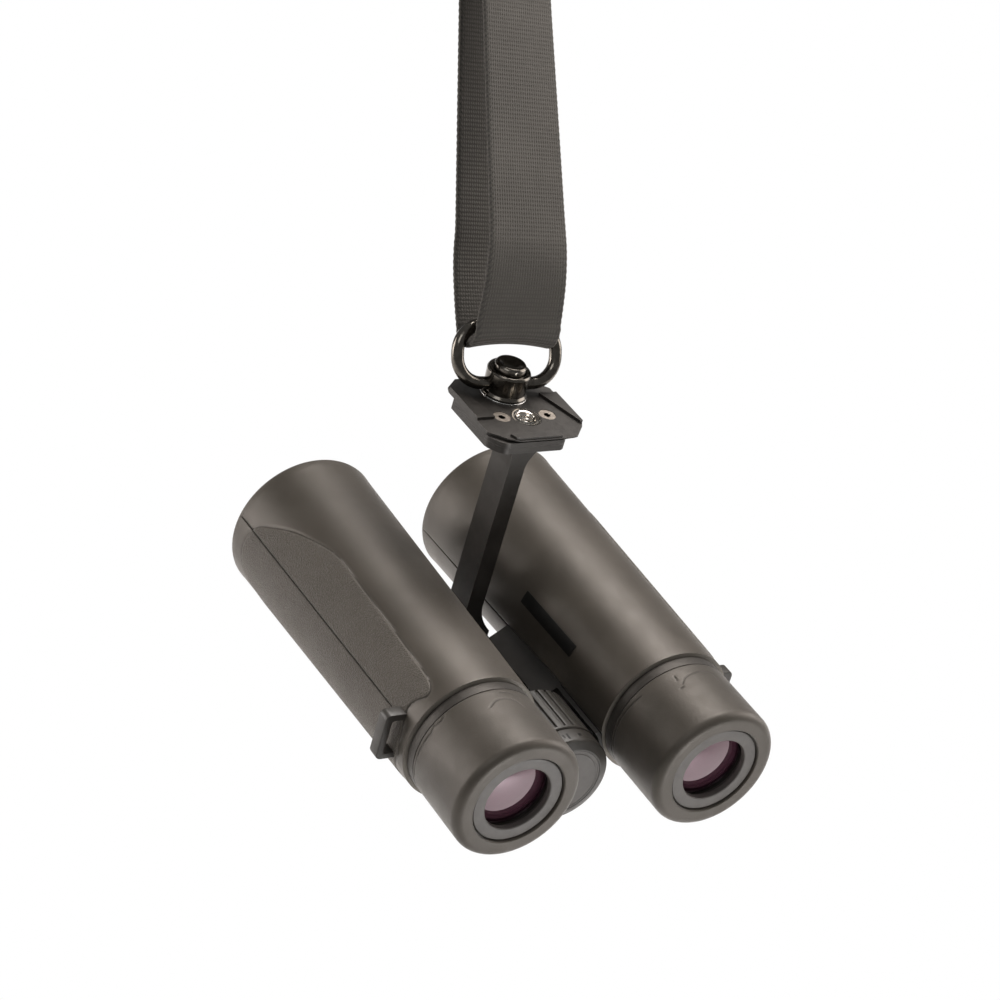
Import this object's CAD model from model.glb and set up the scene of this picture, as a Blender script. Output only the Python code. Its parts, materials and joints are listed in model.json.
import json
import math

import bmesh
import bpy
import numpy as np
from mathutils import Matrix, Vector


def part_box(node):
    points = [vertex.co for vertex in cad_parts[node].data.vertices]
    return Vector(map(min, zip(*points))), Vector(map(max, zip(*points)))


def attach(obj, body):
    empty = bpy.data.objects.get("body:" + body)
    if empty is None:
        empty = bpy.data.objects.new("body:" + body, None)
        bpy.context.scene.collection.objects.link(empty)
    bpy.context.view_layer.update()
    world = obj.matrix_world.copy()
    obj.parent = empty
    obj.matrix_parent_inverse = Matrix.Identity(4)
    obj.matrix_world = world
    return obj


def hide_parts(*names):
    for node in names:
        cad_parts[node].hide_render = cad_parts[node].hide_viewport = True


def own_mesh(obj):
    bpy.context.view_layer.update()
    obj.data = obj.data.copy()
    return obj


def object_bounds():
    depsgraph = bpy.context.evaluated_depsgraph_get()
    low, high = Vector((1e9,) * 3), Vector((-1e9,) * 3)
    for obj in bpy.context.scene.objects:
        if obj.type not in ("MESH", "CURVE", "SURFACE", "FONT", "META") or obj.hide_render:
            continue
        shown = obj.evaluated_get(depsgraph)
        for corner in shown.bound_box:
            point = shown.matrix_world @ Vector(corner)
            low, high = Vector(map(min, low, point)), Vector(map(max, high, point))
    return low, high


MM = 0.001

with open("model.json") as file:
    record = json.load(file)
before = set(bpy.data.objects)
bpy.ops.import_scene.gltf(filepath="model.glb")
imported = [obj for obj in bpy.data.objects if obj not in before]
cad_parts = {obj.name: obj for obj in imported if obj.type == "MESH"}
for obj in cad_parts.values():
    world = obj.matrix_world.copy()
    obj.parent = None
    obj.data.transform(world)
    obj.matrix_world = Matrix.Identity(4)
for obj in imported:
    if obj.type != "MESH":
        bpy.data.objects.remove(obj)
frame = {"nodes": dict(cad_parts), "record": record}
cad_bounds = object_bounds()
nodes = frame["nodes"]
scene = bpy.context.scene


# ---------------------------------------------------------------- places taken from the frame
def middle(node):
    low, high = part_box(node)
    return (low + high) / 2 / MM


EYE_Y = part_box("eyecup_right")[0].y / MM
BARREL = {side: middle("eyecup_" + side) for side in ("right", "left")}
BARREL_Z = BARREL["right"].z
HINGE = middle("clamp_washer")
SWIVEL = middle("qd_socket")
SIDE_SIGN = {"right": 1, "left": -1}


# ---------------------------------------------------------------- mesh helpers
def link(obj):
    scene.collection.objects.link(obj)
    return obj


def mark_smooth(mesh, angle=32):
    """Smooth faces, with edges sharper than the angle kept crisp."""
    mesh.polygons.foreach_set("use_smooth", np.ones(len(mesh.polygons), bool))
    bm = bmesh.new()
    bm.from_mesh(mesh)
    limit = math.radians(angle)
    for edge in bm.edges:
        if len(edge.link_faces) == 2 and edge.calc_face_angle(0) > limit:
            edge.smooth = False
    bm.to_mesh(mesh)
    bm.free()


def finish_piece(obj, body, slot_name, replaced=()):
    """Gives a piece its body, its material slot and the CAD nodes it stands for."""
    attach(obj, body)
    if replaced:
        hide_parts(*replaced)
    obj.data.materials.clear()
    obj.data.materials.append(MATERIALS[slot_name])
    return obj


def clean_mesh(mesh, distance=2e-7):
    bm = bmesh.new()
    bm.from_mesh(mesh)
    bmesh.ops.remove_doubles(bm, verts=bm.verts, dist=distance)
    bmesh.ops.dissolve_degenerate(bm, edges=bm.edges, dist=1e-8)
    loose = [v for v in bm.verts if not v.link_faces]
    bmesh.ops.delete(bm, geom=loose, context="VERTS")
    bmesh.ops.recalc_face_normals(bm, faces=bm.faces)
    bm.to_mesh(mesh)
    bm.free()


def grid_object(name, points, wrap_rows, wrap_cols, attributes=None, caps=False, sharp=32):
    """A quad mesh through points[row][col] in millimetres, with float attributes of the same shape."""
    rows, cols = points.shape[:2]
    index = np.arange(rows * cols).reshape(rows, cols)
    a = index if wrap_rows else index[:-1]
    b = np.roll(index, -1, 0) if wrap_rows else index[1:]
    if wrap_cols:
        quads = np.stack([a, np.roll(a, -1, 1), np.roll(b, -1, 1), b], -1)
    else:
        quads = np.stack([a[:, :-1], a[:, 1:], b[:, 1:], b[:, :-1]], -1)
    faces = quads.reshape(-1, 4).tolist()
    if caps:
        faces.append(index[0].tolist())
        faces.append(index[-1][::-1].tolist())
    mesh = bpy.data.meshes.new(name)
    mesh.from_pydata((points.reshape(-1, 3) * MM).tolist(), [], faces)
    for key, values in (attributes or {}).items():
        layer = mesh.attributes.new(key, "FLOAT", "POINT")
        layer.data.foreach_set("value", np.asarray(values, np.float32).ravel())
    clean_mesh(mesh)
    mark_smooth(mesh, sharp)
    return link(bpy.data.objects.new(name, mesh))


def axis_points(axis, radius, angle, height):
    """Points at a radius and angle round an axis; the angle turns towards +X.
    Along the barrels it starts at +Z and height is the distance from the eyecup faces.
    On the swivel and the insert it starts at +Y and height is Z."""
    kind, cx, cy = axis
    radius, angle, height = np.broadcast_arrays(radius, angle, height)
    x, other = cx + radius * np.sin(angle), cy + radius * np.cos(angle)
    return np.stack([x, EYE_Y + height, other] if kind == "y" else [x, other, height], -1)


def rounded(profile, steps=4):
    """A closed profile of (r, s, fillet) corners as points, with its corners turned into arcs."""
    shortest, straight, most_of_side = 1e-6, math.pi / 2 - 0.02, 0.48
    result = []
    count = len(profile)
    for i, corner in enumerate(profile):
        here = np.array(corner[:2], float)
        fillet = corner[2] if len(corner) > 2 else 0
        before = np.array(profile[i - 1][:2], float) - here
        after = np.array(profile[(i + 1) % count][:2], float) - here
        la, lb = np.linalg.norm(before), np.linalg.norm(after)
        if fillet <= 0 or la < shortest or lb < shortest:
            result.append(here)
            continue
        before, after = before / la, after / lb
        half = math.acos(np.clip(before @ after, -1, 1)) / 2
        if half > straight:
            result.append(here)
            continue
        cut = min(fillet / math.tan(half), most_of_side * la, most_of_side * lb)
        radius = cut * math.tan(half)
        centre = here + (before + after) / np.linalg.norm(before + after) * radius / math.sin(half)
        start, end = here + before * cut - centre, here + after * cut - centre
        sweep = math.acos(np.clip(start @ end / (radius * radius), -1, 1))
        for k in range(steps + 1):
            t = k / steps
            w0 = math.sin((1 - t) * sweep) / math.sin(sweep)
            w1 = math.sin(t * sweep) / math.sin(sweep)
            result.append(centre + start * w0 + end * w1)
    return np.array(result)


def full_turn(segments):
    return np.linspace(0, 2 * math.pi, segments, endpoint=False)


def turned(name, axis, body, slot_name, node, profile, segments=160, steps=4):
    """A ring or disc turned from a closed profile of (r, s, fillet) corners, in place of a CAD node."""
    line = rounded(profile, steps)
    points = axis_points(axis, line[:, :1], full_turn(segments), line[:, 1:2])
    return finish_piece(grid_object(name, points, True, True), body, slot_name, [node])


def even_shading(obj):
    """Normals weighted by face area, so that plane faces stay plain beside rounded edges."""
    weigh = obj.modifiers.new("normals", "WEIGHTED_NORMAL")
    weigh.mode = "FACE_AREA"
    weigh.weight = 50
    weigh.keep_sharp = True


def round_edges(obj, width, segments, angle, miter="MITER_SHARP"):
    """Rounds the edges that are sharper than the angle, and gives the object the rounded mesh."""
    bevel = obj.modifiers.new("edges", "BEVEL")
    bevel.width = width * MM
    bevel.segments = segments
    bevel.limit_method = "ANGLE"
    bevel.angle_limit = math.radians(angle)
    bevel.miter_outer = miter
    bpy.context.view_layer.update()
    shaped = bpy.data.meshes.new_from_object(obj.evaluated_get(bpy.context.evaluated_depsgraph_get()))
    obj.modifiers.clear()
    obj.data = shaped
    return shaped


def refined(node, name, width, segments=3):
    """A copy of a CAD node with its flat faces merged and its edges rounded."""
    flat_angle, round_angle, sharp_angle = 0.6, 28, 40
    source = nodes[node].data
    count = len(source.vertices)
    co = np.zeros(count * 3, np.float64)
    source.vertices.foreach_get("co", co)
    mesh = bpy.data.meshes.new(name)
    mesh.from_pydata(co.reshape(-1, 3).tolist(), [], [list(p.vertices) for p in source.polygons])
    bm = bmesh.new()
    bm.from_mesh(mesh)
    bmesh.ops.remove_doubles(bm, verts=bm.verts, dist=1e-6)
    bmesh.ops.dissolve_limit(bm, angle_limit=math.radians(flat_angle), verts=bm.verts, edges=bm.edges)
    bmesh.ops.recalc_face_normals(bm, faces=bm.faces)
    bm.to_mesh(mesh)
    bm.free()
    obj = link(bpy.data.objects.new(name, mesh))
    shaped = round_edges(obj, width, segments, round_angle, "MITER_ARC")
    shaped.name = name
    clean_mesh(shaped, 1e-7)
    mark_smooth(shaped, sharp_angle)
    even_shading(obj)
    return obj


def plain(node, name, body, slot_name, width, segments=3):
    """A rounded copy of a CAD node, in its place."""
    return finish_piece(refined(node, name, width, segments), body, slot_name, [node])


# ---------------------------------------------------------------- material helpers
class Graph:
    """Short names for building a node material; coordinates come out in millimetres."""

    def __init__(self, name):
        self.material = bpy.data.materials.new(name)
        self.material.use_nodes = True
        self.tree = self.material.node_tree
        self.tree.nodes.clear()
        self.out = self.tree.nodes.new("ShaderNodeOutputMaterial")
        self.shader = self.tree.nodes.new("ShaderNodeBsdfPrincipled")
        self.tree.links.new(self.shader.outputs[0], self.out.inputs[0])

    def node(self, kind, inputs=None, **settings):
        item = self.tree.nodes.new(kind)
        for key, value in settings.items():
            setattr(item, key, value)
        for key, value in (inputs or {}).items():
            self.wire(value, item.inputs[key])
        return item

    def wire(self, value, socket):
        if isinstance(value, bpy.types.NodeSocket):
            self.tree.links.new(value, socket)
        else:
            socket.default_value = value

    def position(self, scale=(1, 1, 1)):
        place = self.node("ShaderNodeTexCoord").outputs["Object"]
        inputs = {"Vector": place, "Scale": [1000 * v for v in scale]}
        return self.node("ShaderNodeMapping", inputs).outputs[0]

    def noise(self, scale, detail=2.0, rough=0.5, where=None):
        return self.node("ShaderNodeTexNoise", {
            "Vector": where or self.position(), "Scale": scale, "Detail": detail, "Roughness": rough,
        }).outputs["Fac"]

    def patches(self, scale, detail=3.0, rough=0.5, to_low=0.0, to_high=1.0):
        """Uneven patches whose values lie between the last two."""
        return self.ramp(self.noise(scale, detail, rough), 0.3, 0.7, to_low, to_high)

    def cells(self, scale):
        inputs = {"Vector": self.position(), "Scale": scale}
        return self.node("ShaderNodeTexVoronoi", inputs).outputs["Distance"]

    def math(self, operation, a, b=0.0):
        return self.node("ShaderNodeMath", {0: a, 1: b}, operation=operation).outputs[0]

    def plus(self, a, b):
        return self.math("ADD", a, b)

    def times(self, a, b):
        return self.math("MULTIPLY", a, b)

    def ramp(self, value, low, high, to_low=0.0, to_high=1.0):
        inputs = {"Value": value, "From Min": low, "From Max": high, "To Min": to_low, "To Max": to_high}
        return self.node("ShaderNodeMapRange", inputs, interpolation_type="SMOOTHSTEP").outputs["Result"]

    def mix(self, factor, a, b):
        inputs = {"Factor": factor, "A": (*a, 1) if isinstance(a, tuple) else a,
                  "B": (*b, 1) if isinstance(b, tuple) else b}
        return self.node("ShaderNodeMix", inputs, data_type="RGBA").outputs["Result"]

    def attribute(self, name):
        return self.node("ShaderNodeAttribute", attribute_name=name).outputs["Fac"]

    def edge(self, radius):
        """1 along edges, within a radius in millimetres, and 0 on open faces."""
        soft = self.node("ShaderNodeBevel", {"Radius": radius * MM}, samples=4).outputs[0]
        hard = self.node("ShaderNodeNewGeometry").outputs["Normal"]
        dot = self.node("ShaderNodeVectorMath", {0: soft, 1: hard}, operation="DOT_PRODUCT")
        return self.ramp(dot.outputs["Value"], 0.75, 0.97, 1.0, 0.0)

    def bump(self, height, depth, normal=None):
        """Depth is how many millimetres a height of 1 stands up."""
        inputs = {"Distance": depth * MM, "Height": height}
        if normal is not None:
            inputs["Normal"] = normal
        return self.node("ShaderNodeBump", inputs).outputs[0]

    def set(self, **values):
        names = {
            "color": "Base Color", "metallic": "Metallic", "roughness": "Roughness",
            "normal": "Normal", "ior": "IOR", "specular": "Specular IOR Level",
            "tint": "Specular Tint", "coat": "Coat Weight", "coat_roughness": "Coat Roughness",
            "coat_tint": "Coat Tint", "sheen": "Sheen Weight", "sheen_roughness": "Sheen Roughness",
            "sheen_tint": "Sheen Tint", "transmission": "Transmission Weight",
        }
        for key, value in values.items():
            if isinstance(value, tuple) and len(value) == 3:
                value = (*value, 1)
            self.wire(value, self.shader.inputs[names[key]])
        return self.material


# ---------------------------------------------------------------- materials, one per slot
def rubber_armour(name):
    """Moulded rubber: fine skin, a pebbled grip panel, dark parting lines and a paler lip."""
    g = Graph(name)
    inside = g.ramp(g.attribute("panel"), -0.15, 0.35)
    line = g.ramp(g.math("ABSOLUTE", g.plus(g.attribute("panel"), 0.3)), 0.08, 0.42, 1.0, 0.0)
    rim = g.ramp(g.math("ABSOLUTE", g.math("SUBTRACT", g.attribute("panel"), 0.2)), 0.05, 0.3, 1.0, 0.0)
    seam = g.ramp(g.attribute("seam"), 0.08, 0.42, 1.0, 0.0)
    pebble = g.cells(1.9)
    grain = g.noise(2.6, 3.0, 0.6)
    skin = g.noise(5.5, 2.0, 0.55)
    speckle = g.times(g.ramp(grain, 0.4, 0.66), inside)
    base = g.mix(g.patches(0.035, rough=0.55), (0.034, 0.0285, 0.0215), (0.047, 0.04, 0.031))
    base = g.mix(g.times(speckle, 0.55), base, (0.105, 0.094, 0.082))
    base = g.mix(g.times(line, 0.6), base, (0.012, 0.0105, 0.009))
    base = g.mix(g.times(rim, 0.3), base, (0.13, 0.12, 0.1))
    base = g.mix(g.times(seam, 0.9), base, (0.007, 0.0065, 0.006))
    base = g.mix(g.times(g.attribute("lip"), 0.75), base, (0.19, 0.175, 0.15))
    rough = g.plus(g.patches(0.12, to_low=0.4, to_high=0.47), g.times(inside, 0.12))
    height = g.times(g.plus(g.times(pebble, 0.9), grain), inside)
    normal = g.bump(skin, 0.04)
    normal = g.bump(height, 0.24, normal)
    normal = g.bump(g.times(seam, -1.0), 0.2, normal)
    return g.set(color=base, roughness=rough, normal=normal, specular=0.6, tint=(1, 0.93, 0.86),
                 sheen=0.16, sheen_roughness=0.45, sheen_tint=(0.95, 0.88, 0.82))


def eyecup_rubber(name):
    """Moulded rubber with fine skin and the dark lines of the moulded marks."""
    g = Graph(name)
    mark = g.ramp(g.attribute("mark"), 0.06, 0.34, 1.0, 0.0)
    base = g.mix(g.patches(0.06, rough=0.55), (0.04, 0.0345, 0.027), (0.053, 0.0455, 0.037))
    base = g.mix(g.times(mark, 0.75), base, (0.009, 0.008, 0.007))
    rough = g.patches(0.15, to_low=0.4, to_high=0.5)
    normal = g.bump(g.noise(5.0, 3.0, 0.6), 0.045)
    normal = g.bump(g.noise(1.1, 2.0, 0.5), 0.03, normal)
    return g.set(color=base, roughness=rough, normal=normal, specular=0.5, tint=(1, 0.93, 0.86),
                 sheen=0.2, sheen_roughness=0.45, sheen_tint=(0.9, 0.88, 0.86))


def painted(name, low, high, rough_low, rough_high, orange_peel=0.01, worn=(0.2, 0.19, 0.18), wear=0.35):
    """Satin paint with a faint orange peel and rubbed edges."""
    g = Graph(name)
    base = g.mix(g.patches(0.09), low, high)
    scuff = g.ramp(g.noise(0.55, 4.0, 0.65), 0.42, 0.62)
    rub = g.times(g.times(g.edge(0.35), scuff), wear)
    base = g.mix(rub, base, worn)
    rough = g.patches(0.4, 4.0, 0.6, rough_low, rough_high)
    normal = g.bump(g.noise(2.4, 2.0, 0.5), orange_peel)
    return g.set(color=base, roughness=rough, normal=normal)


def blasted(name, low, high, rough):
    """Bead-blasted anodised aluminium with paler edges."""
    g = Graph(name)
    base = g.mix(g.patches(0.11), low, high)
    rub = g.times(g.edge(0.3), g.patches(0.8, 4.0, 0.6, 0.25, 0.8))
    base = g.mix(rub, base, (0.16, 0.15, 0.14))
    normal = g.bump(g.noise(6.5, 3.0, 0.65), 0.01)
    rough = g.patches(0.5, to_low=rough - 0.04, to_high=rough + 0.05)
    return g.set(color=base, roughness=rough, normal=normal, metallic=0.35)


def metal(name, low, high, rough_low, rough_high, scratch=0.004):
    """Bare or plated metal with turning lines and uneven polish."""
    g = Graph(name)
    base = g.mix(g.patches(0.35, 4.0, 0.6), low, high)
    streak = g.noise(1.0, 3.0, 0.6, where=g.position((2.2, 9.0, 2.2)))
    rough = g.patches(0.8, 4.0, 0.6, rough_low, rough_high)
    normal = g.bump(streak, scratch)
    return g.set(color=base, metallic=1.0, roughness=rough, normal=normal)


def screw_steel(name):
    """Bronze-grey screw heads whose drive sockets are dark inside."""
    g = Graph(name)
    height = g.node("ShaderNodeSeparateXYZ", {0: g.position()}).outputs[2]
    down = g.ramp(height, -0.55, -0.25, 1.0, 0.0)
    base = g.mix(g.patches(0.9, 4.0, 0.6), (0.26, 0.225, 0.19), (0.4, 0.355, 0.31))
    base = g.mix(down, base, (0.012, 0.011, 0.01))
    rough = g.patches(1.2, to_low=0.34, to_high=0.48)
    return g.set(color=base, metallic=0.85, roughness=rough, normal=g.bump(g.noise(5.0, 3.0, 0.6), 0.006))


def black_oxide(name):
    """Polished steel under a thick black finish, worn to brown-grey on its edges."""
    g = Graph(name)
    base = g.mix(g.patches(0.5, 4.0, 0.6), (0.1, 0.09, 0.076), (0.15, 0.136, 0.118))
    worn = g.times(g.edge(0.25), g.ramp(g.noise(1.1, 4.0, 0.7), 0.5, 0.66, 0.0, 0.7))
    base = g.mix(worn, base, (0.3, 0.27, 0.24))
    rough = g.patches(0.7, 4.0, 0.6, 0.13, 0.24)
    normal = g.bump(g.noise(1.2, 2.0, 0.5), 0.014)
    return g.set(color=base, metallic=1.0, roughness=rough, normal=normal, coat=0.3, coat_roughness=0.06)


def ring_grey(name):
    """Dark grey moulded plastic with a fine matt grain."""
    g = Graph(name)
    base = g.mix(g.patches(0.2), (0.075, 0.068, 0.062), (0.092, 0.084, 0.077))
    rough = g.patches(0.6, to_low=0.42, to_high=0.52)
    return g.set(color=base, roughness=rough, normal=g.bump(g.noise(4.5, 3.0, 0.6), 0.012))


def coated_glass(name):
    """Anti-reflection coated glass over a dark tube: violet where it reflects."""
    g = Graph(name)
    facing = g.node("ShaderNodeLayerWeight", {"Blend": 0.35}).outputs["Facing"]
    body = g.mix(g.ramp(facing, 0.0, 0.75), (0.075, 0.03, 0.044), (0.02, 0.008, 0.014))
    dust = g.ramp(g.noise(0.9, 4.0, 0.6), 0.45, 0.7, 0.01, 0.04)
    return g.set(color=body, roughness=dust, specular=0.8, tint=(0.95, 0.66, 0.76), ior=1.6,
                 coat=1.0, coat_roughness=0.01, coat_tint=(0.98, 0.9, 0.94))


def lens_glass(name):
    """Uncoated internal glass: a cool, nearly clear body with faint haze."""
    g = Graph(name)
    haze = g.patches(0.3, to_low=0.02, to_high=0.06)
    tone = g.mix(g.noise(0.1, 2.0), (0.82, 0.88, 0.9), (0.74, 0.82, 0.86))
    return g.set(color=tone, roughness=haze, transmission=0.9, ior=1.52)


# Webbing pattern: cross ribs, warp threads and the edges' braid
RIB_PITCH, WARP_PITCH, BRAID_PITCH = 1.37, 0.95, 2.1


def webbing(name):
    """Ribbed nylon: cross ribs, fine warp threads and braided edges, from the band's own lengths."""
    g = Graph(name)
    along, across = g.attribute("along"), g.attribute("across")
    wobble = g.times(g.math("SUBTRACT", g.noise(0.25, 2.0), 0.5), 0.35)
    warp = g.math("SINE", g.times(g.plus(across, wobble), 2 * math.pi / WARP_PITCH))
    rib = g.math("SINE", g.times(g.plus(along, wobble), 2 * math.pi / RIB_PITCH))
    weave = g.times(rib, g.math("SIGN", warp))
    fibre = g.noise(6.0, 3.0, 0.65)
    base = g.mix(g.patches(0.04), (0.06, 0.054, 0.046), (0.078, 0.071, 0.061))
    base = g.mix(g.ramp(rib, -1.0, -0.1, 0.42, 0.0), base, (0.022, 0.02, 0.017))
    base = g.mix(g.ramp(g.times(weave, fibre), -0.6, 0.7, 0.28, 0.0), base, (0.035, 0.031, 0.027))
    selvedge = g.ramp(g.math("ABSOLUTE", across), 13.2, 13.5)
    strand = g.plus(along, g.times(across, 1.1))
    braid = g.ramp(g.math("SINE", g.times(strand, 2 * math.pi / BRAID_PITCH)), -1.0, -0.2, 0.6, 0.0)
    base = g.mix(g.times(selvedge, braid), base, (0.015, 0.0135, 0.012))
    base = g.mix(g.times(g.ramp(fibre, 0.35, 0.7), 0.25), base, (0.17, 0.158, 0.142))
    normal = g.bump(g.times(g.plus(warp, g.times(weave, 0.6)), 0.5), 0.05)
    normal = g.bump(fibre, 0.05, normal)
    return g.set(color=base, roughness=g.ramp(fibre, 0.3, 0.7, 0.62, 0.8), normal=normal,
                 specular=0.35, sheen=0.2, sheen_roughness=0.4, sheen_tint=(0.95, 0.9, 0.85))


def label_black(name):
    """Flat black plastic strip with slightly paler edges."""
    g = Graph(name)
    base = g.mix(g.patches(0.3), (0.003, 0.003, 0.003), (0.006, 0.0055, 0.005))
    base = g.mix(g.times(g.edge(0.3), 0.35), base, (0.08, 0.075, 0.07))
    rough = g.patches(0.9, to_low=0.42, to_high=0.52)
    return g.set(color=base, roughness=rough, normal=g.bump(g.noise(3.0), 0.004), specular=0.25)


# What makes each slot's material, and with which colours, roughness and so on
LOOKS = {
    "rubber_armour": (rubber_armour,),
    "eyecup_rubber": (eyecup_rubber,),
    "chassis_paint": (painted, (0.016, 0.014, 0.012), (0.024, 0.021, 0.018), 0.38, 0.5),
    "black_plastic": (painted, (0.03, 0.0265, 0.0225), (0.042, 0.0375, 0.032), 0.36, 0.48, 0.012,
                      (0.14, 0.13, 0.12), 0.3),
    "ring_grey": (ring_grey,),
    "lens_glass": (lens_glass,),
    "coated_glass": (coated_glass,),
    "seal_rubber": (painted, (0.012, 0.012, 0.012), (0.02, 0.019, 0.018), 0.55, 0.7, 0.01,
                    (0.04, 0.04, 0.04), 0.1),
    "bare_steel": (metal, (0.45, 0.44, 0.42), (0.56, 0.55, 0.53), 0.25, 0.4),
    "drive_brass": (metal, (0.52, 0.38, 0.16), (0.64, 0.48, 0.22), 0.28, 0.42),
    "anodised_black": (blasted, (0.03, 0.0265, 0.023), (0.042, 0.0375, 0.033), 0.42),
    "steel_insert": (metal, (0.62, 0.58, 0.52), (0.76, 0.72, 0.66), 0.1, 0.18, 0.001),
    "screw_steel": (screw_steel,),
    "socket_steel": (metal, (0.5, 0.49, 0.48), (0.66, 0.65, 0.63), 0.16, 0.3),
    "black_oxide": (black_oxide,),
    "spring_steel": (metal, (0.4, 0.39, 0.37), (0.5, 0.49, 0.47), 0.25, 0.38),
    "ball_steel": (metal, (0.6, 0.59, 0.57), (0.72, 0.71, 0.69), 0.08, 0.16),
    "webbing": (webbing,),
    "label_black": (label_black,),
}
MATERIALS = {slot_name: make(slot_name, *options) for slot_name, (make, *options) in LOOKS.items()}

# Carried-over CAD nodes take the material of their slot
NODE_SLOTS = {row["node"]: row["material_slot"] for row in frame["record"]["subparts"]}
for node_name, cad in nodes.items():
    cad.data.materials.clear()
    cad.data.materials.append(MATERIALS[NODE_SLOTS[node_name]])


# ---------------------------------------------------------------- curves on a barrel's surface
REFERENCE_R = 25.0
BARREL_START, BARREL_END = 31.3, 150.5
ARMOUR_T = 1.8
SEAM_ANGLE, INNER_SEAM_ANGLE, SEAM_END = 75.1, -102.5, 148
# Depths of the surface's features, and a distance that is out of reach of all of them
PANEL_STEP, SEAM_DEPTH, CREASE_DEPTH, MARK_DEPTH = 0.2, 0.28, 0.16, 0.2
FAR = 9.0


def armour_r(s):
    return 23.4 + (s - BARREL_START) * 0.0242


def smooth_loop(points, steps=8):
    """A closed Catmull-Rom curve through the points."""
    p = np.array(points, float)
    before, after, beyond = np.roll(p, 1, 0), np.roll(p, -1, 0), np.roll(p, -2, 0)
    result = []
    for k in range(steps):
        t = k / steps
        result.append(0.5 * (2 * p + (after - before) * t
                             + (2 * before - 5 * p + 4 * after - beyond) * t * t
                             + (3 * p - before - 3 * after + beyond) * t ** 3))
    return np.stack(result, 1).reshape(-1, 2)


def distance_to_lines(points, starts, ends):
    """Distance from each point to the nearest of many straight segments."""
    best = np.full(len(points), 1e9)
    for a, b in zip(starts, ends):
        d = b - a
        t = np.clip(((points - a) @ d) / max(d @ d, 1e-12), 0, 1)
        gap = points - (a + t[:, None] * d)
        best = np.minimum(best, np.einsum("ij,ij->i", gap, gap))
    return np.sqrt(best)


def inside_loop(points, loop):
    x, y = points[:, 0], points[:, 1]
    inside = np.zeros(len(points), bool)
    for (x0, y0), (x1, y1) in zip(loop, np.roll(loop, -1, 0)):
        crosses = (y0 > y) != (y1 > y)
        at = x0 + (y - y0) * (x1 - x0) / (y1 - y0 + 1e-12)
        inside ^= crosses & (x < at)
    return inside


def on_surface(s, degrees):
    return s, REFERENCE_R * math.radians(degrees)


def grip_outline():
    """The grip panel's edge as (s, arc length); its lower half mirrors the upper one."""
    fold = 95.5
    upper = [(141.4, 90.8), (139.7, 75.2), (136.3, 67.3), (133, 63), (125, 53), (116.4, 45.3),
             (109.6, 40.3), (101.6, 37.1), (80.4, 37.8), (59.8, 38.6), (44, 39.8), (39, 41.4),
             (36.4, 45), (35.9, 50.1), (37.6, 57.4), (38.2, 64), (37, 74), (35.4, 86)]
    lower = [(s, 2 * fold - angle) for s, angle in upper[::-1]]
    return smooth_loop([on_surface(s, angle) for s, angle in upper + lower])


# Section of the hinge web: X from the middle of the binocular, Z from the barrel's axis
WEB_SECTION = [(5.5, -10.74), (14.8, -3.84), (22, -2), (22, -20), (16.5, -22.6), (8, -24.6), (3, -22)]
WEB_START, WEB_END, WHEEL_ROOM_END = 31.6, 90.7, 56.5
# The hinge axis lies this far under the barrels' axes, and the wheel's guard has this radius round it
HINGE_DROP, GUARD_R = 17.6, 18.4
# Moulded step of the armour beside the strap lug: points of (s, degrees from +Z outwards)
LUG_CREASE = [(36.1, 72), (35.9, 85), (35.4, 94.5), (34.9, 105), (33.7, 112)]


def barrel_axis(side):
    return "y", BARREL[side].x, BARREL[side].z


def columns(count, exact):
    """Angles round a barrel, with extra ones beside each exact angle in degrees."""
    spread = (0.0, 0.16, 0.34, 0.6)
    base = np.linspace(-180, 180, count, endpoint=False)
    extra = [a + side * d / REFERENCE_R * 180 / math.pi for a in exact for d in spread for side in (-1, 1)]
    kept = [a for a in base if all(abs(a - e) > 0.5 for e in extra)]
    return np.radians(np.array(sorted(set(np.round(kept + extra, 4)))))


def bell(x, width):
    return np.exp(-(x / width) ** 2)


def step(x, low, high):
    t = np.clip((x - low) / (high - low), 0, 1)
    return t * t * (3 - 2 * t)


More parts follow.
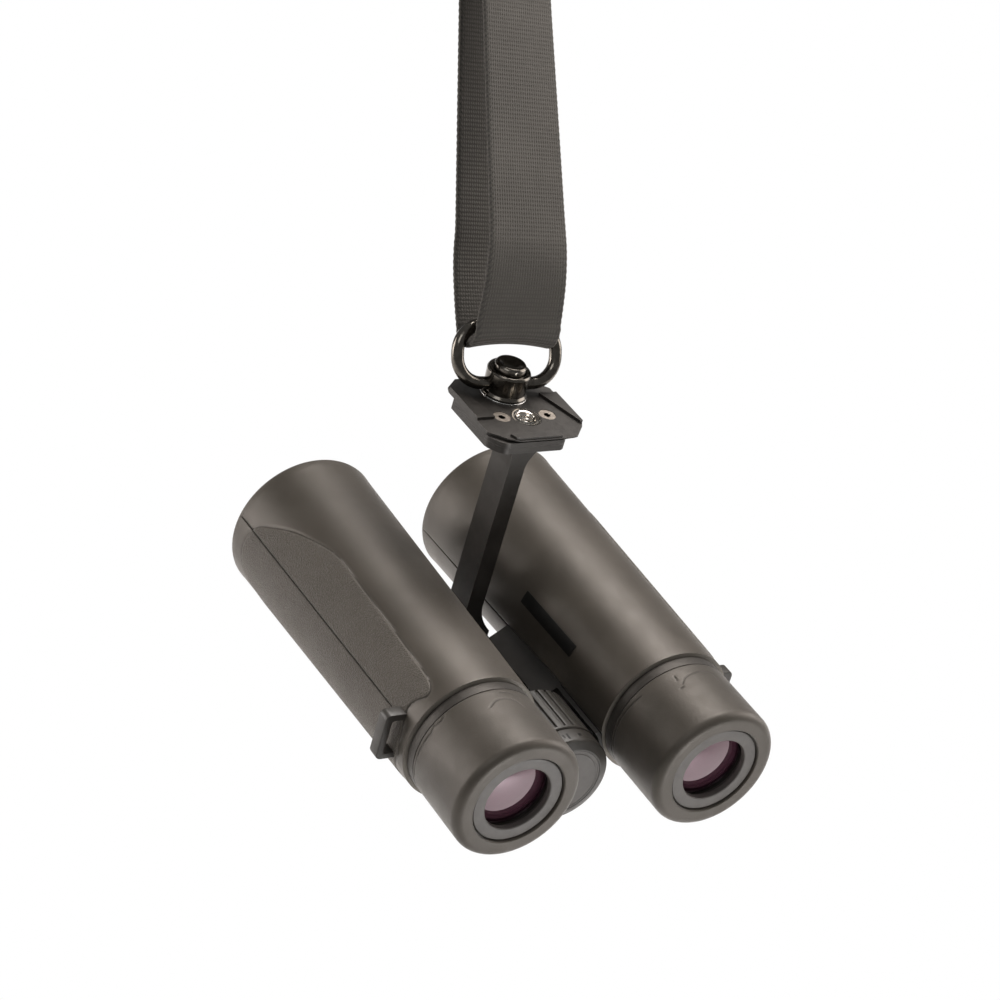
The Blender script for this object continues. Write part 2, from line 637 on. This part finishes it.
def armour_skin(side):
    """Rubber armour with its raised grip panel, parting lines and the clearance lines of the hinge."""
    sign = SIDE_SIGN[side]
    phi = columns(300, (SEAM_ANGLE, INNER_SEAM_ANGLE))
    round_r, start_r = 2.4, armour_r(BARREL_START)
    lip_r = armour_r(BARREL_END - 5) - 2.2
    rim = [(lip_r + round_r * math.cos(a), BARREL_END - 2.6 + round_r * math.sin(a))
           for a in np.radians(np.linspace(10, 82, 8))]
    s_rows = np.arange(BARREL_START + 0.6, BARREL_END - 4.8, 0.5)
    outer = [(start_r - 0.14, BARREL_START), (start_r - 0.03, BARREL_START + 0.05),
             (start_r, BARREL_START + 0.16)]
    outer += [(armour_r(s), s) for s in s_rows] + rim
    inner = [(23.3, BARREL_END), (22.7, BARREL_END - 0.3), (22.4, 149.7), (22.4, 148.6), (24.44, 148.6)]
    inner += [(armour_r(s) - ARMOUR_T, s) for s in np.linspace(147, BARREL_START, 12)]
    line = np.array(outer + inner)
    radius, s = line[:, :1] + 0 * phi, line[:, 1:2] + 0 * phi
    flat = np.stack([s.ravel(), (REFERENCE_R * phi + 0 * s).ravel()], 1)
    loop = grip_outline()
    # The panel's outline runs past the back of the barrel, where the angle starts again
    arc = np.where(flat[:, 1] < -REFERENCE_R * 1.2, flat[:, 1] + 2 * math.pi * REFERENCE_R, flat[:, 1])
    unrolled = np.stack([flat[:, 0], arc], 1)
    panel = distance_to_lines(unrolled, loop, np.roll(loop, -1, 0))
    panel = np.where(inside_loop(unrolled, loop), panel, -panel).reshape(s.shape)
    seam = np.full(s.shape, FAR)
    for angle, seam_start in ((SEAM_ANGLE, 44), (INNER_SEAM_ANGLE, 91)):
        across = REFERENCE_R * np.abs(phi - math.radians(angle)) + 0 * s
        beyond = np.maximum(np.maximum(seam_start - s, s - SEAM_END), 0)
        seam = np.minimum(seam, np.hypot(across, beyond))
    web = np.array(WEB_SECTION)
    cross_x = BARREL[side].x * sign + radius * np.sin(phi)
    cross = np.stack([cross_x.ravel(), (radius * np.cos(phi)).ravel()], 1)
    edge = distance_to_lines(cross, web, np.roll(web, -1, 0))
    edge = np.where(inside_loop(cross, web), 0, edge).reshape(s.shape)
    guard = np.hypot(cross[:, 0], cross[:, 1] + HINGE_DROP).reshape(s.shape) - GUARD_R
    guard = np.maximum(np.maximum(guard, edge), WEB_START - s)
    edge = np.hypot(edge, np.maximum(np.maximum(s - WEB_END, WHEEL_ROOM_END - s), 0))
    edge = np.where(s < WHEEL_ROOM_END, np.minimum(guard, edge), edge)
    crease = np.array([on_surface(p, a) for p, a in LUG_CREASE])
    crease = distance_to_lines(flat, crease[:-1], crease[1:]).reshape(s.shape)
    seam = np.minimum(seam, np.maximum(edge - 0.15, 0))
    shell = np.zeros(s.shape)
    shell[:len(outer) - 3] = 1
    lift = PANEL_STEP * (step(panel, -0.1, 0.5) - bell(panel + 0.4, 0.3)) - SEAM_DEPTH * bell(seam, 0.24)
    lift -= CREASE_DEPTH * bell(crease, 0.2)
    points = axis_points(barrel_axis(side), radius + shell * lift, sign * phi, s)
    lip = np.zeros(s.shape)
    lip[[0, -1]] = 1
    masks = {"panel": np.where(shell > 0, panel, -FAR), "seam": np.where(shell > 0, seam, FAR), "lip": lip}
    obj = grid_object("armour_skin_" + side, points, True, True, masks)
    return finish_piece(obj, "barrel_" + side, "rubber_armour", ["armour_" + side])


# Moulded marks of the eyecups: curves of (s, degrees from +Z towards +X)
EYECUP_MARKS = {
    "left": [
        [(27.2, -46), (26.4, -47.5), (25.5, -52), (26.2, -57.4), (26.3, -60.6), (25.4, -64.1),
         (25.6, -67.5), (25.9, -80), (26.1, -95), (25.9, -110)],
        [(25.7, 3.4), (25.3, 11.5), (24.5, 17.2), (23.3, 18.8)],
        [(20, -14), (21.8, -8), (22.5, -1.4), (22.5, 4.8), (21.7, 10.1), (20.3, 13.6), (18.5, 15.2)],
    ],
    "right": [
        [(19.8, -19.3), (21.6, -15), (22.8, -7), (23.4, 3), (23.1, 12), (22.3, 16.8), (19.2, 16.1)],
        [(24, -20.4), (22, -21.1)],
        [(18.3, -23.7), (18.6, -20)],
        [(25.9, -107), (26.1, -93), (26, -79), (25.5, -65), (24.9, -52)],
    ],
}
EYECUP_R, EYECUP_LEN, MOUTH_R = 22.1, 27.2, 15.9


def eyecup_shell(side):
    """Twist-up eyecup with a rounded mouth and its moulded marks."""
    angle = np.radians(np.linspace(-180, 180, 420, endpoint=False))
    front = rounded([(MOUTH_R, 3.6), (MOUTH_R, 0, 0.5), (EYECUP_R, 0, 3.4), (EYECUP_R, EYECUP_LEN - 1)], 12)
    corner = rounded([(EYECUP_R, 20), (EYECUP_R, EYECUP_LEN, 0.35), (18.8, EYECUP_LEN)], 3)
    barrel = [(EYECUP_R, s) for s in np.arange(3.8, EYECUP_LEN - 0.6, 0.3)]
    start = [tuple(p) for p in front[:-1]]
    bore = [(18.8, 37.5), (17.1, 37.5), (17.1, 4.4)]
    line = np.array(start + barrel + [tuple(p) for p in corner[1:]] + bore)
    radius, s = line[:, :1] + 0 * angle, line[:, 1:2] + 0 * angle
    mark = np.full(s.shape, FAR)
    flat = np.stack([s.ravel(), (EYECUP_R * angle + 0 * s).ravel()], 1)
    for curve in EYECUP_MARKS[side]:
        path = np.array([(p, EYECUP_R * math.radians(a)) for p, a in curve])
        mark = np.minimum(mark, distance_to_lines(flat, path[:-1], path[1:]).reshape(s.shape))
    body = np.zeros(s.shape)
    body[len(start):len(start) + len(barrel)] = 1
    points = axis_points(barrel_axis(side), radius - body * MARK_DEPTH * bell(mark, 0.26), angle, s)
    obj = grid_object("eyecup_shell_" + side, points, True, True, {"mark": np.where(body > 0, mark, FAR)})
    return finish_piece(obj, "eyecup_" + side, "eyecup_rubber", ["eyecup_" + side])


def collar_ring(side):
    return turned("collar_ring_" + side, barrel_axis(side), "collar_" + side, "eyecup_rubber",
                  "eyecup_collar_" + side, [
                      (18.9, 27.28), (22.1, 27.28, 0.08), (22.1, 30.9, 0.12), (18.9, 30.9)])


def eyepiece_trim(side):
    return turned("eyepiece_trim_" + side, barrel_axis(side), "barrel_" + side, "ring_grey",
                  "eyepiece_ring_" + side, [
                      (11.4, 1.0, 0.25), (11.75, 0.8, 0.15), (15.3, 0.8, 0.3), (15.6, 1.15, 0.2),
                      (15.6, 4.15), (12.3, 4.15, 0.2), (11.9, 3.2, 0.2), (11.4, 2.8, 0.2)])


def lens(kind, side, radius, front, front_sag, back, back_sag):
    """A coated lens with two curved faces and a small ground edge."""
    edge, steps = 0.15, 14
    shares = [i / steps for i in range(steps)]
    line = [(radius * t, front - front_sag * (1 - t ** 2)) for t in shares]
    line += [(radius - edge, front + 0.01), (radius, front + 0.16)]
    line += [(radius, back - 0.16), (radius - edge, back - 0.01)]
    line += [(radius * t, back + back_sag * (1 - t ** 2)) for t in shares[::-1]]
    line = np.array(line)
    points = axis_points(barrel_axis(side), line[:, :1], full_turn(128), line[:, 1:2])
    obj = grid_object(kind + "_glass_" + side, points, False, True, sharp=40)
    return finish_piece(obj, "barrel_" + side, "coated_glass", [kind + "_lens_" + side])


def objective_trim(side):
    """Retaining ring with fine anti-glare grooves in its bore."""
    grooves = []
    for k in range(5):
        s = 147.3 - k * 0.62
        grooves += [(20.75, s), (21.1, s - 0.15), (21.1, s - 0.35), (20.75, s - 0.5)]
    ring = [(20.6, 144.1), (21.9, 144.1), (21.9, 148.2, 0.3), (20.75, 147.9, 0.2)]
    return turned("objective_trim_" + side, barrel_axis(side), "barrel_" + side, "black_plastic",
                  "objective_ring_" + side, ring + grooves)


def outline_solid(name, outline, s0, s1, width):
    """An outline in X and Z drawn out along the barrels, with rounded edges."""
    mesh = bpy.data.meshes.new(name)
    count = len(outline)
    verts = [(x, EYE_Y + s, z) for s in (s0, s1) for x, z in outline]
    faces = [list(range(count)), list(range(2 * count - 1, count - 1, -1))]
    faces += [[i, (i + 1) % count, count + (i + 1) % count, count + i][::-1] for i in range(count)]
    mesh.from_pydata([tuple(v * MM for v in p) for p in verts], [], faces)
    clean_mesh(mesh)
    obj = link(bpy.data.objects.new(name, mesh))
    shaped = round_edges(obj, width, 3, 40)
    clean_mesh(shaped)
    mark_smooth(shaped, 40)
    return obj


def corner_arc(cx, cy, radius, start, end, steps=6):
    return [(cx + radius * math.cos(a), cy + radius * math.sin(a))
            for a in np.radians(np.linspace(start, end, steps + 1))]


def strap_lug(side):
    """Moulded eye for a neck strap: a square bail with rounded outer corners."""
    sign = SIDE_SIGN[side]
    out, bar, top, bottom, leg = 29.0, 2.6, 8.3, -8.6, 2.4
    big, small, root = 2.0, 0.8, 20.5
    shape = [(root, top)] + corner_arc(out - big, top - big, big, 90, 0)
    shape += corner_arc(out - big, bottom + big, big, 0, -90) + [(root, bottom), (root, bottom + leg)]
    shape += corner_arc(out - bar - small, bottom + leg + small, small, -90, 0)
    shape += corner_arc(out - bar - small, top - leg - small, small, 0, 90) + [(root, top - leg)]
    outline = [(sign * (BARREL["right"].x + x), BARREL_Z + z) for x, z in shape]
    obj = outline_solid("strap_eye_" + side, outline, 36.8, 41.2, 0.35)
    return finish_piece(obj, "barrel_" + side, "black_plastic", ["strap_lug_" + side])


for side in ("right", "left"):
    armour_skin(side)
    eyecup_shell(side)
    collar_ring(side)
    eyepiece_trim(side)
    lens("eye", side, 12.9, 5.4, 1.2, 10, 0.8)
    lens("objective", side, 21.9, 139.2, 0.0, 143.5, 2.4)
    objective_trim(side)
    strap_lug(side)
    plain("barrel_body_" + side, "barrel_shell_" + side, "barrel_" + side, "chassis_paint", 0.3)

plain("blank_label", "label_strip", "barrel_right", "label_black", 0.08, 2)


# ---------------------------------------------------------------- focus wheel and dial
HINGE_AXIS = ("y", HINGE.x, HINGE.z)


def wheel_grip():
    """Focus wheel whose rim carries axial grip grooves."""
    grooves, wheel_r, start, end, depth = 30, 16.1, 31.8, 52.0, 0.7
    pitch = 360 / grooves
    half = math.degrees(0.55 / wheel_r)
    places = [(-half * 1.5, 0), (-half * 1.05, 0.12), (-half * 0.8, 0.85), (-half * 0.55, 1.0), (0, 1.0),
              (half * 0.55, 1.0), (half * 0.8, 0.85), (half * 1.05, 0.12), (half * 1.5, 0),
              (pitch / 2 - 1.5, 0), (pitch / 2 + 1.5, 0)]
    angle, share = [], []
    for k in range(grooves):
        for offset, cut in places:
            angle.append(math.radians(k * pitch + offset))
            share.append(cut)
    angle, share = np.array(angle), np.array(share)
    rim = [(wheel_r - 0.35, start + 0.1), (wheel_r, start + 0.45), (wheel_r, start + 1.2),
           (wheel_r, start + 1.6), (wheel_r, start + 1.8), (wheel_r, start + 5), (wheel_r, end - 5),
           (wheel_r, end - 0.9), (wheel_r, end - 0.7), (wheel_r, end - 0.4), (wheel_r - 0.4, end)]
    bore = [(7.1, end), (7.1, 41.6), (2.1, 41.6), (2.1, 36.2), (11.05, 36.2)]
    line = np.array([(11.05, start)] + rim + bore)
    cut = np.array([start + 1.55 < s < end - 0.65 and r > 15 for r, s in line], float)
    radius = line[:, :1] - depth * cut[:, None] * share
    points = axis_points(HINGE_AXIS, radius, angle, line[:, 1:2])
    obj = grid_object("wheel_grip", points, True, True, sharp=40)
    return finish_piece(obj, "focus_wheel", "black_plastic", ["focus_wheel"])


def dial_marks():
    """Index marks on the dial's band: a bar, three ticks and a dot, as thin curved pads."""
    pads = [(26.9, 28.6, -38.5, -34.5), (26.7, 29.2, -17.6, -15.6), (27.4, 29.0, -12.2, -10.6),
            (26.7, 29.2, -7.2, -5.2), (27.6, 28.7, 8.0, 12.0)]
    verts, faces = [], []
    steps = 4
    for s0, s1, a0, a1 in pads:
        first = len(verts)
        for radius in (15.9, 16.1):
            for s in (s0, s1):
                for a in np.radians(np.linspace(a0, a1, steps + 1)):
                    verts.append([v * MM for v in axis_points(HINGE_AXIS, radius, a, s)])
        row = steps + 1
        # The pad's section has four corners in turn: inner and outer at s0, outer and inner at s1
        corners = [first, first + 2 * row, first + 3 * row, first + row]
        for here, there in zip(corners, corners[1:] + corners[:1]):
            faces += [(here + k, here + k + 1, there + k + 1, there + k) for k in range(steps)]
        faces += [[corner + k for corner in corners] for k in (0, steps)]
    mesh = bpy.data.meshes.new("dial_marks")
    mesh.from_pydata(verts, [], faces)
    clean_mesh(mesh)
    mark_smooth(mesh)
    return finish_piece(link(bpy.data.objects.new("dial_marks", mesh)), "diopter_dial", "label_black")


wheel_grip()
turned("dial_cap", HINGE_AXIS, "diopter_dial", "black_plastic", "diopter_dial", [
    (5.05, 26.8), (0.3, 26.8), (0.3, 24.75), (12.45, 24.75), (12.45, 24.2, 0.1), (12.9, 24.2, 0.25),
    (15.6, 25.2, 0.3), (16, 25.8, 0.3), (16, 31.4, 0.25), (5.05, 31.4)])
turned("dial_face", HINGE_AXIS, "diopter_dial", "ring_grey", "dial_disc", [
    (0.02, 24.3), (10.9, 24.3, 0.3), (11.1, 24.42, 0.1), (11.7, 24.42, 0.1), (11.85, 24.27, 0.1),
    (12.4, 24.27, 0.1), (12.4, 24.65), (0.02, 24.65)])
dial_marks()


# ---------------------------------------------------------------- bracket, plate and screws
plain("bracket_arm", "arm_casting", "hinge_and_bracket", "anodised_black", 0.3)
plain("dovetail_plate", "plate_slab", "hinge_and_bracket", "anodised_black", 0.22)
plain("plate_screws", "screw_heads", "hinge_and_bracket", "screw_steel", 0.12)
plain("thumb_screw", "thumb_knob", "thumb_screw", "black_plastic", 0.3)


def thread_sleeve():
    """Steel insert with a helical thread inside."""
    pitch, root, crest = 1.27, 3.17, 2.72
    angle = full_turn(96)
    levels = np.arange(-4.9, -0.1, pitch / 8)
    inner = [(root, z) for z in levels] + [(root + 0.15, 0.0)]
    outer = [(5.1, 0.0), (5.1, -0.58), (4.75, -0.58), (4.75, -5.0), (root, -5.0)]
    line = np.array(inner + [(4.95, 0.0)] + outer[1:])
    radius, z = line[:, :1] + 0 * angle, line[:, 1:2] + 0 * angle
    phase = 2 * math.pi * z / pitch - angle
    threaded = np.zeros(z.shape)
    threaded[:len(levels)] = 1
    fade = step(z, -0.15, -0.6) * step(z, -5.0, -4.6)
    radius = radius - threaded * fade * (root - crest) * (0.5 + 0.5 * np.cos(phase))
    points = axis_points(("z", 0.0, 0.0), radius, angle, z)
    obj = grid_object("thread_sleeve", points, True, True, sharp=50)
    return finish_piece(obj, "hinge_and_bracket", "steel_insert", ["thread_insert"])


thread_sleeve()


# ---------------------------------------------------------------- swivel and loop
SWIVEL_AXIS = ("z", SWIVEL.x, SWIVEL.y)
SPIN, LOOP_TILT, STRAP_TILT = -6.1, 27.4, 34.0
PIVOT_Z, WIRE_R = 3.6, 2.1
LOOP_HALF, LOOP_H, LOOP_CORNER = 17.7, 18.6, 8.6

turned("socket_cup", SWIVEL_AXIS, "hinge_and_bracket", "socket_steel", "qd_socket", [
    (0.02, -10.6), (6.6, -10.6, 0.3), (6.6, -0.45), (7.98, -0.45, 0.1), (7.98, 0.35, 0.2), (4.8, 0.35, 0.2),
    (4.8, -4.9), (5.75, -4.9), (5.75, -7.5), (4.8, -7.5), (4.8, -9.6), (0.02, -9.6)], 128)
turned("swivel_head", SWIVEL_AXIS, "swivel", "black_oxide", "swivel_body", [
    (3.05, -8.2), (4.75, -8.2, 0.5), (4.75, 0.45), (7.7, 0.45, 0.2), (7.7, 0.95, 0.2), (7.0, 1.7, 0.6),
    (7.3, 8.3, 0.45), (6.9, 9.0, 0.35), (5.8, 9.0, 0.3), (5.42, 8.6, 0.2), (5.42, 6.4), (3.78, 6.4),
    (3.78, 3.0), (3.05, 3.0)], 128, 5)
turned("button_cap", SWIVEL_AXIS, "button", "black_oxide", "swivel_button", [
    (0.02, -7), (3.0, -7, 0.3), (3.0, -6.53), (1.8, -3.4), (1.8, -2.6), (3.0, -1.6), (3.0, 6.7), (3.7, 6.7),
    (3.7, 8.9), (5.3, 8.9), (5.3, 10.6, 0.5), (4.7, 11.3, 0.5), (4.0, 11.4, 0.6), (2.5, 10.6, 0.9),
    (0.02, 10.4)], 128, 5)


def press_spring():
    """Coil spring under the button, which flattens as the button goes down."""
    turns, wire, coil_r, low, high = 3, 0.24, 3.4, 3.3, 6.4
    turn = np.linspace(0, 2 * math.pi * turns, 36 * turns + 1)[:, None]
    around = full_turn(12)
    z = low + (high - low) * turn / turn[-1] + wire * np.sin(around)
    points = axis_points(SWIVEL_AXIS, coil_r + wire * np.cos(around), turn, z)
    obj = grid_object("press_spring", points, False, True, caps=True)
    finish_piece(obj, "swivel", "spring_steel", ["button_spring"])
    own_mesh(obj)


press_spring()


def loop_frame(tilt):
    return (Matrix.Translation((SWIVEL.x, SWIVEL.y, 0)) @ Matrix.Rotation(math.radians(SPIN), 4, "Z")
            @ Matrix.Translation((0, 0, PIVOT_Z)) @ Matrix.Rotation(math.radians(-tilt), 4, "X"))


def moved(points, matrix):
    m = np.array(matrix)
    return (points.reshape(-1, 3) @ m[:3, :3].T + m[:3, 3]).reshape(points.shape)


def tube_along(name, path, radius, matrix):
    """A round wire along an open path of 3-D points, with rounded ends."""
    p = np.array(path, float)
    tangent = np.gradient(p, axis=0)
    tangent /= np.linalg.norm(tangent, axis=1)[:, None]
    up = np.array([0.0, 1.0, 0.0])
    side_dir = np.cross(tangent, up)
    side_dir /= np.linalg.norm(side_dir, axis=1)[:, None]
    other = np.cross(side_dir, tangent)
    angle = full_turn(32)
    rings = []
    last = len(p) - 1
    shape = [(1.0, 0.0), (0.94, 0.2), (0.8, 0.33), (0.5, 0.4)]
    start = [(0, shrink, -push) for shrink, push in shape[::-1]]
    finish = [(last, shrink, push) for shrink, push in shape]
    sequence = start + [(i, 1.0, 0.0) for i in range(1, last)] + finish
    for i, shrink, push in sequence:
        centre = p[i] + tangent[i] * push
        rings.append(centre + radius * shrink * (np.cos(angle)[:, None] * side_dir[i]
                                                 + np.sin(angle)[:, None] * other[i]))
    return grid_object(name, moved(np.array(rings), matrix), False, True, caps=True, sharp=60)


def loop_path():
    flat = LOOP_HALF - LOOP_CORNER
    right = [(4.5, 0.0), (6.0, 0.0), (flat - 0.6, 0.0)]
    right += corner_arc(flat, LOOP_CORNER, LOOP_CORNER, -90, 0, 14)
    right += corner_arc(flat, LOOP_H - LOOP_CORNER, LOOP_CORNER, 0, 90, 14)
    right += [(flat - 2, LOOP_H), (0.0, LOOP_H)]
    left = [(-x, z) for x, z in right[-2::-1]]
    return [(x, 0.0, z) for x, z in right + left]


loop = tube_along("loop_wire", loop_path(), WIRE_R, loop_frame(LOOP_TILT))
finish_piece(loop, "loop", "black_oxide", ["swivel_loop"])


# ---------------------------------------------------------------- webbing
STRAP_W, STRAP_T, STRAP_H = 30.4, 1.5, 240.0
# Heights above the bar where the legs join and are widest, and half their gap at the bar, there and joined
JOIN_Q, BELLY_Q = 212.0, 26.0
WRAP_R, BELLY_H, JOIN_H = 7.1, 12.5, 0.8


def half_gap(q):
    """Half the distance between the two legs' middles, q above the bar."""
    rise = WRAP_R + (BELLY_H - WRAP_R) * np.sin(np.pi / 2 * np.clip(q / BELLY_Q, 0, 1))
    fall = JOIN_H + (BELLY_H - JOIN_H) * (JOIN_Q - q) / (JOIN_Q - BELLY_Q)
    return np.where(q < BELLY_Q, rise, np.where(q < JOIN_Q, fall, JOIN_H))


def band():
    """The webbing band: front leg down, round the bar and up the rear leg."""
    spacing, rib_depth, braid_depth = RIB_PITCH / 6, 0.055, 0.1
    q = np.arange(STRAP_H, 0, -spacing)
    turn = np.linspace(0, math.pi, int(math.pi * WRAP_R / spacing))
    side = np.concatenate([-half_gap(q), -WRAP_R * np.cos(turn), half_gap(q[::-1])])
    height = np.concatenate([q, np.zeros(len(turn)), q[::-1]])
    sag = np.concatenate([0 * q, np.sin(turn), 0 * q])
    front_twist = np.interp(q, [0, 31, 103, 160, JOIN_Q], [0, 10.7, 17.3, 10, 0])
    rear_twist = np.interp(q[::-1], [0, 31, 103, 160, JOIN_Q], [0, 11.7, 14.4, 8, 0])
    twist = np.radians(np.concatenate([front_twist, 0 * turn, rear_twist]))
    kernel = np.hanning(61) / np.hanning(61).sum()
    twist = np.convolve(np.pad(twist, 30, mode="edge"), kernel, mode="valid")
    count = 19
    flat = np.linspace(-1, 1, count)
    edge = np.radians(np.linspace(90, -90, 9))[1:-1]
    half_w, half_t = STRAP_W / 2, STRAP_T / 2
    across = np.concatenate([flat * (half_w - half_t), half_w - half_t + half_t * np.cos(edge),
                             -flat * (half_w - half_t), -(half_w - half_t) - half_t * np.cos(edge)])
    depth = np.concatenate([np.full(count, half_t), half_t * np.sin(edge),
                            np.full(count, -half_t), -half_t * np.sin(edge)])
    on_edge = np.concatenate([np.zeros(count), np.cos(edge), np.zeros(count), -np.cos(edge)])
    arch = 4.6 + 1.5 * (across / half_w) ** 2 + half_t
    sway = np.interp(np.abs(height), [0, 12, 31, 103, JOIN_Q], [0.15, 0.7, 1.1, 0.6, 0.0])
    n_dir, u_dir, d_dir = np.array([0, 1.0, 0]), np.array([0, 0, 1.0]), np.array([1.0, 0, 0])
    drop = (height[:, None] - sag[:, None] * arch)[:, :, None]
    middle_line = side[:, None, None] * n_dir + drop * u_dir
    width_dir = np.cos(twist)[:, None, None] * d_dir + np.sin(twist)[:, None, None] * n_dir
    line = side[:, None] * n_dir + (height - sag * 5.6)[:, None] * u_dir
    tangent = np.gradient(line, axis=0)
    length = np.concatenate([[0], np.cumsum(np.linalg.norm(np.diff(line, axis=0), axis=1))])
    tangent /= np.linalg.norm(tangent, axis=1)[:, None]
    smooth_tangent = np.stack([np.convolve(np.pad(part, 6, mode="edge"), np.ones(13) / 13, mode="valid")
                               for part in tangent.T], 1)
    face_dir = np.cross(width_dir[:, 0, :], smooth_tangent)
    face_dir /= np.linalg.norm(face_dir, axis=1)[:, None]
    face_sign, on_face = np.sign(depth), np.abs(on_edge) < 0.05
    rib = rib_depth * np.cos(2 * math.pi * length / RIB_PITCH)[:, None] * on_face * face_sign
    braid = braid_depth * np.sin(2 * math.pi * length[:, None] / BRAID_PITCH + 1.6 * face_sign) * on_edge
    points = (middle_line + sway[:, None, None] * d_dir + (across + braid)[:, :, None] * width_dir
              + (depth + rib)[:, :, None] * face_dir[:, None, :])
    place = (loop_frame(LOOP_TILT) @ Matrix.Translation((0, 0, LOOP_H))
             @ Matrix.Rotation(math.radians(LOOP_TILT - STRAP_TILT), 4, "X"))
    lengths = {"along": length[:, None] + 0 * across, "across": 0 * length[:, None] + across}
    obj = grid_object("webbing_band", moved(points, place), False, True, lengths, caps=True, sharp=70)
    return finish_piece(obj, "strap", "webbing", ["strap_webbing"])


band()


# ---------------------------------------------------------------- floor, light and camera
CAMERA_AT = Vector((-523.55, -657.31, 454.37)) * MM
CAMERA_RIGHT = Vector((0.8392, -0.4833, 0.2494))
CAMERA_UP = Vector((0.0732, 0.5548, 0.8288))
CAMERA_BACK = Vector((-0.5389, -0.6772, 0.5009))

camera_data = bpy.data.cameras.new("camera")
camera_data.lens = 108
camera_data.sensor_width = 36
camera_data.clip_start = 0.01
camera = link(bpy.data.objects.new("camera", camera_data))
turn = Matrix((CAMERA_RIGHT, CAMERA_UP, CAMERA_BACK)).transposed()
camera.matrix_world = Matrix.Translation(CAMERA_AT) @ turn.to_4x4()
scene.camera = camera

LIGHT_TARGET = Vector((0, 0, -0.05))


def softbox(name, right, up, back, size, power, tint=(1, 1, 1)):
    """An area light placed by the camera's own axes and turned to the object, in metres and watts."""
    data = bpy.data.lights.new(name, "AREA")
    data.shape = "RECTANGLE"
    data.size, data.size_y = size
    data.energy = power
    data.color = tint
    lamp = link(bpy.data.objects.new(name, data))
    lamp.visible_camera = False
    offset = CAMERA_RIGHT * right + CAMERA_UP * up + CAMERA_BACK * back
    lamp.location = LIGHT_TARGET + offset
    lamp.rotation_euler = offset.to_track_quat("Z", "Y").to_euler()
    return lamp


softbox("top_box", 0.25, 0.95, 0.05, (0.6, 0.45), 11.0, (1, 0.955, 0.92))
softbox("right_box", 0.95, 0.35, -0.15, (0.6, 0.9), 6.5, (1, 0.94, 0.9))
softbox("left_box", -0.95, 0.15, 0.0, (0.35, 0.9), 7.0, (1, 0.95, 0.92))
softbox("front_box", -0.2, 0.5, 1.2, (0.6, 0.4), 2.0)
softbox("lens_box", 0.31, -0.37, 0.17, (0.11, 0.05), 0.7)

# The camera sees the floor as plain white; light that bounces off it sees a pale surface
floor_look = Graph("floor_pale")
floor_look.set(color=(0.9, 0.9, 0.9), roughness=0.8)
seen = floor_look.node("ShaderNodeLightPath").outputs["Is Camera Ray"]
white = floor_look.node("ShaderNodeEmission").outputs[0]
choose = floor_look.node("ShaderNodeMixShader", {0: seen, 1: floor_look.shader.outputs[0], 2: white})
floor_look.wire(choose.outputs[0], floor_look.out.inputs[0])

floor_mesh = bpy.data.meshes.new("floor")
FLOOR_HALF, FLOOR_DROP = 4.0, 0.16
floor_z = cad_bounds[0][2] - FLOOR_DROP
corners = [(x * FLOOR_HALF, y * FLOOR_HALF, floor_z) for x, y in ((-1, -1), (1, -1), (1, 1), (-1, 1))]
floor_mesh.from_pydata(corners, [], [(0, 1, 2, 3)])
floor_mesh.materials.append(floor_look.material)
floor = link(bpy.data.objects.new("floor", floor_mesh))

world = bpy.data.worlds.new("studio")
scene.world = world
world.use_nodes = True
world_nodes = world.node_tree
background = world_nodes.nodes["Background"]
background.inputs["Color"].default_value = (1, 1, 1, 1)
paths = world_nodes.nodes.new("ShaderNodeLightPath")
level = world_nodes.nodes.new("ShaderNodeMapRange")
level.inputs["To Min"].default_value = 0.22
level.inputs["To Max"].default_value = 1.0
world_nodes.links.new(paths.outputs["Is Camera Ray"], level.inputs["Value"])
world_nodes.links.new(level.outputs["Result"], background.inputs["Strength"])

scene.view_settings.view_transform = "Standard"
scene.view_settings.look = "None"
